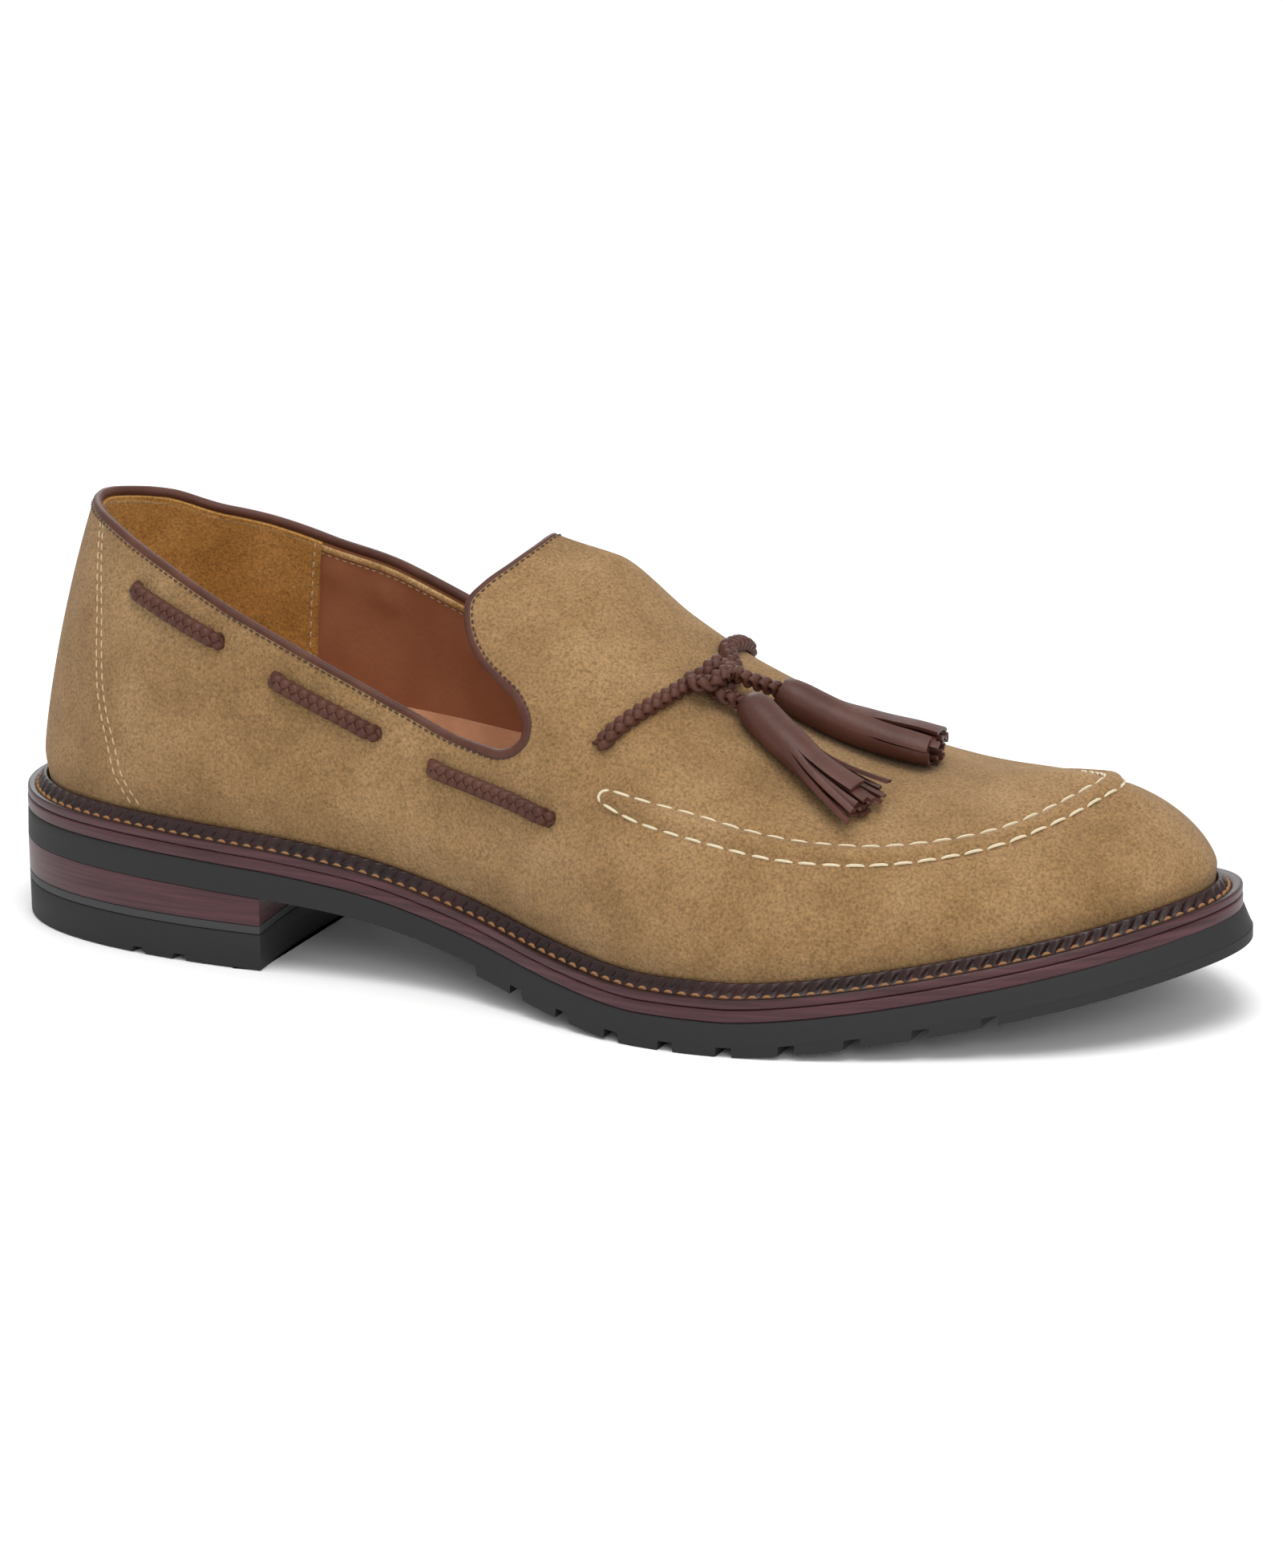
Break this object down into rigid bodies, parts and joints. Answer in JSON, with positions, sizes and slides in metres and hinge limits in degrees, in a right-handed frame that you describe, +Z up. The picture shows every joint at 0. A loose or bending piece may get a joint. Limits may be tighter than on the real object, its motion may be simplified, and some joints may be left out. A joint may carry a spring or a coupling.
{
  "type": "tassel loafer",
  "caption": "Men's tassel loafer for the right foot: tan suede upper, dark brown piping, braided lace and leather tassels, on a storm-welted rubber lug sole.",
  "frame": {"origin": "floor point under the centre of the outsole's box", "axes": "+X from heel to toe, +Y toward the inner side of the right shoe, +Z up"},
  "size_m": [0.303, 0.1147, 0.101],
  "materials": {
    "suede": "napped tan suede",
    "trim_leather": "smooth dark brown calf",
    "edge_leather": "waxed burgundy brown edge",
    "rubber": "matte black rubber",
    "grey_rand": "matte grey",
    "lining_leather": "natural tan lining"
  },
  "bodies": {
    "root": {"outsole": "rubber", "heel_lift": "edge_leather", "heel_rand": "grey_rand", "heel_top_piece": "rubber", "midsole": "edge_leather", "welt": "edge_leather", "insole": "lining_leather", "upper": "suede", "collar_binding": "trim_leather", "side_lace_lateral_1": "trim_leather", "side_lace_lateral_2": "trim_leather", "side_lace_lateral_3": "trim_leather", "side_lace_medial_1": "trim_leather", "side_lace_medial_2": "trim_leather", "side_lace_medial_3": "trim_leather", "vamp_lace_lateral": "trim_leather", "vamp_lace_medial": "trim_leather", "lace_knot": "trim_leather", "lace_end_lateral": "trim_leather", "lace_end_medial": "trim_leather", "tassel_lateral": "trim_leather", "tassel_medial": "trim_leather"}
  },
  "joints": []
}
